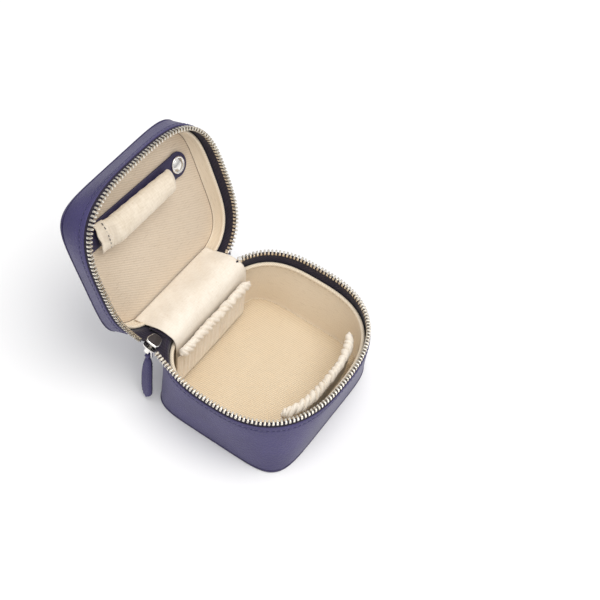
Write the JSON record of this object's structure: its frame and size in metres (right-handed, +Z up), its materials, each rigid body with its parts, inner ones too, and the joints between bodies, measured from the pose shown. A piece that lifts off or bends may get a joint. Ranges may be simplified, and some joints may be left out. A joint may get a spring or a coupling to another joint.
{
  "type": "zip-around travel jewellery case",
  "caption": "Rounded-square leather jewellery case with a zip round three sides, a leaning open lid with a ring roll, and gathered elastic pockets inside.",
  "frame": {"origin": "centre of the base's flat underside", "axes": "+Z up; +Y towards the hinge side; +X to the right seen from the front; the lid stands open, leaning back over +Y"},
  "size_m": [0.1016, 0.1424, 0.115],
  "materials": {
    "leather": "fine-grained, semi-matt",
    "leather_edge": "semi-matt",
    "board": "matt",
    "lining": "ribbed canvas",
    "pocket": "smooth cotton",
    "elastic": "matt",
    "tape": "woven",
    "nickel": "polished",
    "gunmetal": "dark polished"
  },
  "bodies": {
    "base": {"base_side_band": "leather", "base_bottom_panel": "leather_edge", "base_side_board": "board", "base_floor_board": "board", "base_floor_pad": "lining", "base_wall_lining": "lining", "rear_pocket": "pocket", "rear_pocket_elastic": "elastic", "front_pocket": "pocket", "front_pocket_elastic": "elastic", "base_zip_tape": "tape", "base_zip_teeth": "nickel", "base_zip_stop": "nickel", "hinge_spine": "leather", "hinge_cloth": "pocket"},
    "lid": {"lid_side_band": "leather", "lid_top_panel": "leather_edge", "lid_top_board": "board", "lid_side_board": "board", "lid_wall_lining": "lining", "lid_ceiling_panel": "lining", "lid_zip_tape": "tape", "lid_zip_teeth": "nickel", "lid_zip_stop": "nickel", "ring_bar_anchor": "leather_edge", "snap_stud": "nickel"},
    "ring_bar": {"ring_bar_strap": "leather_edge", "ring_bar_roll": "pocket", "snap_cap": "nickel"},
    "slider": {"slider_body": "gunmetal"},
    "pull_link": {"pull_link": "nickel"},
    "pull_tab": {"pull_tab": "leather"}
  },
  "joints": [
    {"name": "lid_hinge", "type": "hinge", "parent": "base", "child": "lid", "pos_m": [0, 0.0412, 0.03845], "axis": [1, 0, 0], "range_deg": [0, 113.9], "deforming": ["hinge_spine", "hinge_cloth"]},
    {"name": "slider_turn", "type": "hinge", "parent": "base", "child": "slider", "pos_m": [-0.03672, 0.0398, 0.04103], "axis": [0.7317, 0.4288, 0.5298], "range_deg": [0, 88.9]},
    {"name": "pull_link_swing", "type": "hinge", "parent": "slider", "child": "pull_link", "pos_m": [-0.03949, 0.04462, 0.03504], "axis": [0.2079, 0.9781, 0], "range_deg": [-6, 50]},
    {"name": "pull_tab_swing", "type": "hinge", "parent": "pull_link", "child": "pull_tab", "pos_m": [-0.03949, 0.04462, 0.02904], "axis": [0.2079, 0.9781, 0], "range_deg": [-6, 50]},
    {"name": "ring_bar_swing", "type": "hinge", "parent": "lid", "child": "ring_bar", "pos_m": [-0.03974, 0.08242, 0.08702], "axis": [-0.0419, -0.4056, -0.9131], "range_deg": [0, 40]}
  ],
  "couplings": [
    {"joint": "slider_turn", "follows": "lid_hinge", "ratio": 0.78}
  ]
}
